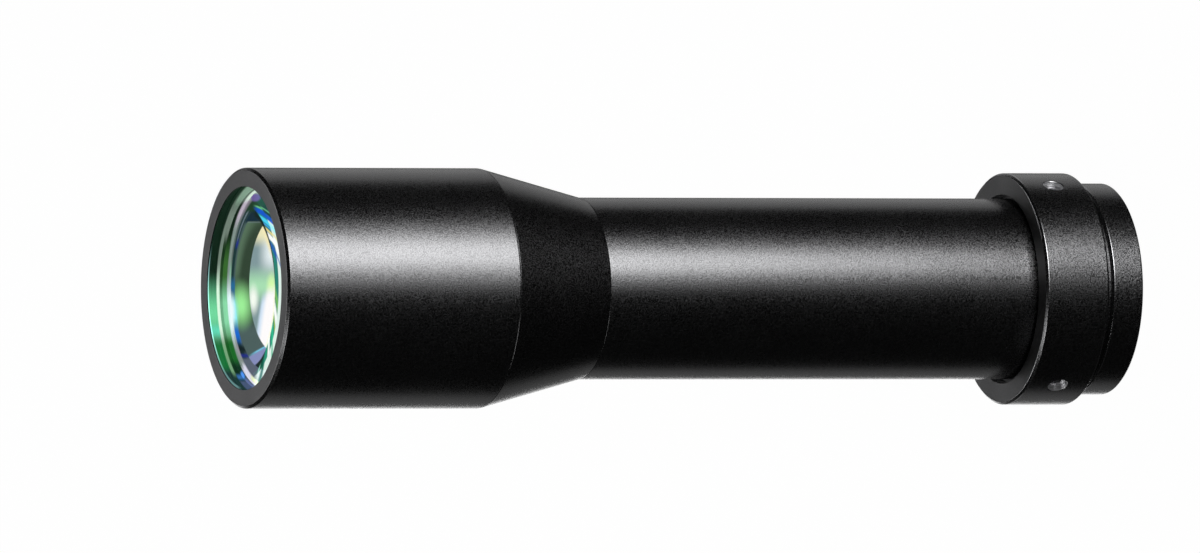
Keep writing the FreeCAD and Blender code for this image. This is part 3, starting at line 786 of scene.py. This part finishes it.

# %% [markdown]
# The single lens behind is what fills the middle. Its coated face carries painted reflections: a
# calm olive disc with a teal ring and a pale rim. On it lies a painted reflection of the bright
# window, a crescent between two circles, that on the real glass is a far lens face mirroring the
# studio. Two distances in the plane draw it exactly.


# %% Painted reflections on the coated face of the single lens
def across(x, y, x0, y0):
    """Distance in the plane from the spot (x0, y0)."""
    return ((x - x0) ** 2 + (y - y0) ** 2) ** 0.5


def rim_colours(tree, x, y, radius):
    """Painted reflections: the dark ring round the disc, with its glints, and the pale band outside it.
    """
    outer_band = tree.layers(
        ink(128, 144, 136),
        (ink(136, 196, 162), x.hill(3.5, 5.0) * 0.8),
        (ICE, x.hill(-5.5, 9.5) * 1.4),
        (ink(172, 162, 178), x.soft(15.5, 19.5)),
        (ink(204, 226, 200), x.soft(21.0, 22.6) * y.soft(14.0, 11.0)),
        (ink(150, 148, 156), x.hill(-15.5, 3.0)),
        (PALE_LAVENDER, x.soft(-17.8, -19.6)),
        (ink(226, 240, 190), across(x, y, -23.0, 8.0).soft(4.0, 1.5)))
    return tree.layers(
        ink(24, 52, 52),
        (ink(70, 92, 90), radius.soft(21.9, 20.8)),
        (ink(104, 122, 130), radius.hill(22.4, 0.6) * x.soft(10.0, 12.5)),
        (ink(18, 42, 56), x.soft(15.6, 16.6) * radius.soft(22.0, 20.8)),
        (ink(24, 58, 34), x.soft(18.2, 19.4)),
        (ink(20, 104, 206), x.hill(-11.2, 3.4) * radius.soft(20.3, 21.2)),
        (ink(30, 44, 140), x.hill(10.9, 1.8) * radius.hill(22.0, 1.3)),
        (ink(36, 104, 150), x.hill(0.4, 3.0)),
        (CYAN, x.hill(-5.6, 5.4) * 1.3),
        (ink(14, 28, 34), x.hill(-15.0, 1.9)),
        (ink(88, 98, 112), x.soft(-16.8, -17.8)),
        (ink(34, 44, 130), x.hill(-16.6, 0.8)),
        (outer_band, radius.soft(23.2, 24.0) * (1 - x.soft(2.0, 8.0) * radius.soft(25.4, 23.8) * 0.6)),
        (ink(238, 254, 254), across(x * 0.9, y, -5.2, 24.0).soft(5.4, 1.0)),
        (ink(104, 84, 150), across(x * 1.5, y * 0.42, 33.4, 3.2).soft(1.9, 0.9)))


def disc_colours(tree, x, y, radius):
    """Painted reflections: the olive disc, its green glow below the middle, and the blue wedge at its
    foot.
    """
    bottom_line = x * -1.0 - y * 0.2
    return tree.layers(
        OLIVE,
        (ink(74, 94, 92), x.soft(-6.0, -11.0)),
        (ink(84, 112, 88), radius.soft(14.6, 19.8) * x.soft(-2.0, 6.0)),
        (ink(112, 132, 130), x.hill(16.25, 0.3) * 0.7),
        (ink(156, 240, 152), across(x, y * 0.62, -4.2, 9.6).soft(7.4, 0.3)),
        (ink(150, 240, 226), across(x * 0.8, y, -4.9, 20.8).soft(4.4, 0.4)),
        (ink(132, 142, 186), bottom_line.soft(14.5, 14.9)),
        (ink(118, 196, 224), bottom_line.hill(14.5, 0.45) * y.soft(13.0, 4.0)))


def window_reflection_colours(tree, x, y, near_arc):
    """The painted reflection of the window's light, from grey-blue through green to white, and cream at
    its top.
    """
    low_wedge = x * -0.46 - y
    return tree.layers(
        ink(126, 152, 154),
        (ink(226, 240, 240), y.soft(5.0, -5.0) * x.soft(1.5, 8.5)),
        (ink(166, 224, 178), x.hill(0.6, 5.8)),
        (ink(210, 250, 170), across(x, y, 0.6, -5.4).soft(4.4, 0.4)),
        (ink(242, 253, 240), across(x, y, -2.7, 6.6).soft(5.0, 0.6)),
        (ink(206, 228, 244), low_wedge.soft(-0.8, 1.6) * x.soft(0.0, -4.0)),
        (WHITE, low_wedge.soft(1.0, 4.4) * x.soft(1.5, -2.5)),
        (WARM_WHITE, x.soft(9.6, 13.4)),
        (ink(240, 234, 184), near_arc.soft(16.6, 18.4) * x.soft(6.5, 11.0)),
        (ink(250, 252, 226), near_arc.soft(17.7, 18.2) * x.soft(2.0, -2.0)))


def painted_inner_reflections(name):
    """Painted reflections: the rim, the disc inside it, and the bright crescent of the window on both.
    """
    tree = Tree(name)
    point, x, y, z = tree.place()
    radius = across(x, y, 0.0, 0.0)
    near_arc = across(x, y, -0.6, 11.2)
    rim, disc = rim_colours(tree, x, y, radius), disc_colours(tree, x, y, radius)
    face = tree.mix(rim, disc, radius.soft(20.5, 20.0) * x.soft(16.6, 16.1))
    window = window_reflection_colours(tree, x, y, near_arc)
    crescent = across(x, y, 0.9, -7.4).soft(17.0, 16.6) * near_arc.soft(18.9, 18.5)
    outside = near_arc.soft(18.5, 18.9)
    below_rim = radius.soft(20.5, 20.0) * y.soft(9.0, 6.0)
    under_fringe = (radius - x.soft(-13.0, -21.0) * 1.4).soft(19.6, 20.1) * y.soft(0.0, -5.0)
    face = tree.layers(face, (window, crescent), (ink(16, 34, 30), outside * below_rim + under_fringe))
    return painted_glow(tree, face)


inner_face = painted_inner_reflections("coated_glass_inner_face")

# %% [markdown]
# The near rim of the thick front lens acts as a prism and breaks the light into shards of green,
# cyan, blue and white, painted here as a glow on the front face. They follow the rim but cut it
# at a slant, so their colours run along the sum of x and the radius, in an inner and an outer
# track that don't line up.


# %% Front face: refracting glass with a painted fringe of light at its near rim
def front_painted_fringe_glass(name):
    """Clear refracting glass, with a painted fringe of light at its near rim and a fine painted glint
    line on the far side.
    """
    tree = Tree(name)
    point, x, y, z = tree.place()
    radius = across(x, y, 0.0, 0.0)
    near = y.soft(-5.0, -9.5)
    start = radius - x.soft(-13.0, -21.0) * 1.4
    slant = x + (radius - 22.4) * (1.7 - x.soft(8.0, 13.0))
    inner = tree.layers(
        ink(34, 124, 108),
        (ink(30, 84, 176), slant.hill(8.6, 3.0)),
        (ink(116, 184, 88), slant.hill(-4.0, 2.6)),
        (ink(250, 253, 250), slant.hill(-7.6, 2.2) * 1.5),
        (ink(150, 190, 66), slant.hill(-9.8, 1.0)),
        (ink(36, 186, 138), slant.hill(-12.4, 2.0)),
        (ink(244, 252, 244), slant.hill(-15.6, 1.2) * 1.3),
        (ink(20, 150, 112), slant.hill(-17.4, 1.0)),
        (ink(4, 84, 60), slant.soft(-18.2, -19.0)),
        (ink(150, 222, 194), slant.hill(-20.3, 0.4) + slant.hill(-21.9, 0.35)),
        (ink(230, 232, 176), slant.soft(-23.4, -24.4)),
        (WHITE, slant.hill(11.8, 1.6) * 1.5),
        (ink(226, 208, 136), slant.hill(13.5, 0.7) * 1.3),
        (ink(70, 150, 226), slant.hill(14.8, 0.6)),
        (ink(70, 206, 240), slant.hill(16.2, 1.3) * 1.4),
        (ink(4, 78, 200), slant.soft(17.2, 17.8)),
        (ink(18, 52, 34), slant.soft(19.2, 19.8)),
        (ink(104, 190, 130), slant.hill(19.9, 0.6) * 1.2))
    outer = tree.layers(
        ink(222, 240, 230),
        (ink(40, 90, 190), slant.hill(9.2, 1.2) * 0.8),
        (WHITE, slant.hill(12.0, 2.2) * 1.4),
        (ink(236, 226, 160), slant.hill(13.8, 0.6)),
        (ink(160, 240, 248), slant.hill(15.9, 1.4) * 1.4),
        (ink(10, 84, 196), slant.soft(17.0, 17.6)),
        (ink(20, 62, 60), slant.soft(18.6, 19.4)),
        (ink(104, 180, 130), slant.hill(20.4, 0.5)),
        (ink(30, 176, 132), slant.hill(-12.8, 0.9) * 1.1),
        (ink(8, 110, 84), slant.hill(-18.6, 1.2) * 1.3),
        (ink(228, 238, 190), slant.soft(-21.2, -22.2)))
    fringe = tree.mix(inner, outer, radius.soft(22.6, 23.0)) * start.soft(20.3, 20.8) * near
    # A fine painted glint along the far rim.
    line = radius.soft(24.65, 24.9) * y.soft(2.0, 6.0) * x.soft(12.0, -4.0)
    glow = fringe + line * (x.soft(-22.0, -10.0) * 0.75 + 0.25) * ink(178, 240, 240)
    return tree.surface(Base_Color=(1.0, 1.0, 1.0, 1), Roughness=0.0, IOR=1.65, Transmission_Weight=1.0,
                        Specular_IOR_Level=0.15, Specular_Tint=(0.45, 1.0, 0.7, 1),
                        Emission_Color=glow, Emission_Strength=1.0)


front_face = front_painted_fringe_glass("coated_glass_front_face")


# %% [markdown]
# Where two lenses are cemented, the cement bends light as the glass does, so the joint can't be
# seen. A face like that is fully see-through, with no bend of its own. The lenses of the rear
# group are plain clear glass with a faint green tint.


# %% Cemented faces and clear glass
def cemented(name):
    """A face that lets all light straight through."""
    return Tree(name).surface(Base_Color=(0.8, 1.0, 0.9, 1), Roughness=0.0, Alpha=0.0)


def clear_glass(name):
    """Clear glass that bends light, with a faint green tint."""
    return Tree(name).surface(Base_Color=(0.95, 1.0, 0.98, 1), Roughness=0.0, IOR=1.6,
                              Transmission_Weight=1.0)


joint_face = cemented("cemented_glass_face")
clear = clear_glass("clear_glass")


# %% [markdown]
# The set screws are blackened or bare steel. Bare is what the gleam in the holes shows. A fine
# noise stands for the marks of the tool, and varies how bright and how rough the metal is.


# %% Bare steel
def bare_steel(name):
    """Bright metal with fine tool marks."""
    tree = Tree(name)
    point, x, y, z = tree.place()
    fine = tree.noise(point, 4.0)
    colour = (fine * 0.25 + 0.62) * (1.0, 1.0, 1.02)
    return tree.surface(Base_Color=colour, Metallic=1.0, Roughness=0.24 + fine * 0.2)


steel = bare_steel("bare_steel")

# %% [markdown]
# Last, each dressed piece takes its finish, and the pieces that are used as packed take theirs by
# their slots. A piece with one finish could take it in a single line, but the lenses need up to
# three, by the marks on their faces, so one function does both.


# %% Finishes go on
FACED = 0.95


def dress(obj, slot, *materials):
    """Puts materials on the faces by their marks. The slot is not used.

    The faces square to the axis, where the lathe faced the piece off, get the attribute faced.
    """
    normals = np.empty(3 * len(obj.data.polygons))
    obj.data.polygons.foreach_get("normal", normals)
    faced = obj.data.attributes.new("faced", "FLOAT", "FACE")
    faced.data.foreach_set("value", (np.abs(normals[2::3]) > FACED).astype(np.float32))
    while len(obj.data.materials) < len(materials):
        obj.data.materials.append(None)
    for index, material in enumerate(materials):
        obj.data.materials[index] = material


finishes = (
    (front_barrel, "satin_black", barrel_satin),
    (main_tube, "satin_black", tube_satin),
    (taper_housing, "satin_black", taper_satin_painted_shade),
    (camera_mount, "satin_black", mount_satin),
    (clamp_ring, "satin_black", ring_satin),
    # The spacer and the lens edges carry the painted bands of light.
    (front_spacer, "matt_black", painted_edge_bands),
    (front_flint, "coated_glass", front_face, painted_edge_bands, joint_face),
    (front_crown, "clear_glass", joint_face, painted_edge_bands, joint_face),
    (front_singlet, "clear_glass", inner_face, painted_edge_bands, joint_face),
    (rear_singlet, "coated_glass", clear, clear, clear),
    (rear_crown, "clear_glass", clear, clear, clear),
    (rear_flint, "clear_glass", clear, clear, clear),
)
for obj, slot_name, *materials in finishes:
    dress(obj, slot_name, *materials)
used_as_packed = dict.fromkeys((
    "front_retaining_ring", "taper_baffle", "aperture_stop", "stop_sleeve", "rear_baffle",
    "baffle_sleeve", "front_baffle", "stack_retaining_ring", "rear_cell", "rear_spacer",
    "cell_retaining_ring", "cell_lock_ring"), matt)
used_as_packed["set_screws"] = steel
for node, material in used_as_packed.items():
    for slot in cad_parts[node].material_slots:
        slot.material = material
print("finishes on", len(finishes) + len(used_as_packed), "pieces")

# %% [markdown]
# The picture is taken from 22.3 degrees off square to the optical axis with a long lens, so the
# sides stay almost parallel. The camera is turned on its side, and the front glass points left.
# Two points of the photograph fix its place: the centres of the front rim and of the rear face.
# The line between them isn't quite level, so the camera leans by as much.

# %% Camera
WIDE, TALL = 1200, 553
FOCAL, SENSOR = 750.0, 36.0
view_angle = math.radians(22.3)
front_px, rear_px = Vector((246.3, 288.1)), Vector((1105.1, 289.1))
length = (barrel_top - mount_base) * MM
scale_px = (rear_px - front_px).length / (length * math.cos(view_angle))
camera_data = bpy.data.cameras.new("camera")
camera_data.sensor_width, camera_data.lens = SENSOR, FOCAL
camera_data.clip_start, camera_data.clip_end = 0.1, 100.0
camera = bpy.data.objects.new("camera", camera_data)
scene.collection.objects.link(camera)
distance = FOCAL / SENSOR * WIDE / scale_px
look = Vector((0, math.cos(view_angle), -math.sin(view_angle)))
left = Vector((0, math.sin(view_angle), math.cos(view_angle)))
up = Vector((1, 0, 0))
lean = math.atan2(rear_px.y - front_px.y, rear_px.x - front_px.x)
left, up = left * math.cos(lean) - up * math.sin(lean), up * math.cos(lean) + left * math.sin(lean)
middle_px = (front_px + rear_px) / 2
aim = Vector((0, 0, length / 2))
aim += left * ((middle_px.x - WIDE / 2) / scale_px) + up * ((middle_px.y - TALL / 2) / scale_px)
camera.location = aim - look * distance
camera.rotation_euler = Matrix((-left, up, -look)).transposed().to_euler()
scene.camera = camera
print("camera at", [round(v, 3) for v in camera.location], "distance", round(distance, 3))

# %% [markdown]
# The floor is plain and white. What the camera sees of it, straight or through glass, is nearly all
# its own glow, so the background is white without flooding the lens with light. The rest is real
# light, so a faint shadow stays, as weak as in the photograph, which is nearly a cut-out. The floor
# is left out of the mirror images, because a studio would hang black cloth there.

# %% Floor
FLOOR_GLOW, half = 0.985, 30.0
floor_mesh = bpy.data.meshes.new("floor")
floor_mesh.from_pydata([(-half, -half, 0), (half, -half, 0), (half, half, 0), (-half, half, 0)], [],
                       [(0, 1, 2, 3)])
floor = bpy.data.objects.new("floor", floor_mesh)
scene.collection.objects.link(floor)
tree = Tree("floor_white")
seen = tree.ray("Camera", "Transmission")
plain = tree.node("ShaderNodeBsdfDiffuse", None, (0.9, 0.9, 0.9, 1))
glow = tree.node("ShaderNodeEmission", None, (1, 1, 1, 1), 1.0)
mixed = tree.node("ShaderNodeMixShader", None, seen * FLOOR_GLOW, plain.outputs[0], glow.outputs[0])
floor_mesh.materials.append(tree.finish(mixed))
floor.visible_glossy = floor.visible_shadow = False
print("the floor is", 2 * half, "m wide")

# %% [markdown]
# Black satin metal shows nothing but its lights, so the lights draw the shape. Three panels a
# little to the side, each wider and weaker than the one before, add up to the long highlight with
# its soft flanks. They end low down, so the highlight fades towards the camera end. Behind, two
# weak wide panels and a narrow brighter one edge the sides. Two high ones, behind and at the side,
# light the front faces, and one overhead lights the floor alone, so the chamfers stay dark between
# their two thin bright edges. The round walls mirror what is below the horizon, so the upright
# panels reach down past the floor, which casts no shadow.


# %% Lights
TARGET = 0.1


def panel(name, azimuth, away, low, high, width, light, tip=False):
    """A soft upright panel at an azimuth, 0 on the camera's side and positive towards +X.

    It spans two heights in metres and faces the axis, or with tip the lens itself, TARGET up.
    light is its brightness, where 1 is white.
    """
    data = bpy.data.lights.new(name, "AREA")
    data.shape = "RECTANGLE"
    data.size, data.size_y = width, high - low
    data.energy = light * width * (high - low) * math.pi
    obj = bpy.data.objects.new(name, data)
    turn = math.radians(azimuth)
    obj.location = (math.sin(turn) * away, -math.cos(turn) * away, (low + high) / 2)
    aim_at = Vector((0, 0, TARGET if tip else (low + high) / 2))
    obj.rotation_euler = (aim_at - obj.location).to_track_quat("-Z", "Y").to_euler()
    obj.visible_camera = False
    scene.collection.objects.link(obj)
    return obj


panel("key_core", 33, 0.72, -0.23, 0.16, 0.29, 3.6)
panel("key_middle", 33, 0.74, -0.23, 0.16, 0.52, 2.5)
panel("key_wide", 33, 0.76, -0.23, 0.16, 0.92, 1.2)
panel("rim_panel_right", 143, 1.5, -1.1, 0.3, 1.1, 0.46)
panel("rim_panel_left", -140, 1.5, -1.1, 0.3, 0.95, 0.22)
panel("rear_panel", -168, 1.5, -1.1, 0.3, 0.42, 1.6)
panel("back_panel", 180, 1.2, 1.1, 2.1, 1.4, 1.9, tip=True)
panel("side_panel", -60, 0.9, 0.9, 1.5, 0.7, 2.4, tip=True)
floor_panel = panel("floor_panel", 0, 0.0, 1.5, 3.5, 2.0, 1.2)
floor_panel.location = (0, 0, 2.0)
floor_panel.rotation_euler = (0, 0, 0)
floor_panel.visible_glossy = False
print("light in all:", round(sum(light.energy for light in bpy.data.lights), 2), "W")

# %% [markdown]
# The room is white to the camera, straight or through glass, the way a cut-out product picture is
# made, so that low views past the floor's edge stay white too. A mirror image would show the same
# white, but the dark zones of the metal in the photograph mirror black cloth. So rays that mirror
# see the room at the cloth's brightness, and it lights nothing else.

# %% Room
CLOTH = 0.012
world = bpy.data.worlds.new("studio")
scene.world = world
room = Tree(world)
brightness = room.ray("Camera", "Transmission") + room.ray("Glossy") * CLOTH
sky = room.node("ShaderNodeBackground", None, (1, 1, 1, 1), brightness)
room.node("ShaderNodeOutputWorld", None, sky.outputs[0])
scene.view_settings.view_transform = "Standard"
print("mirrored, the room is", CLOTH, "of white")
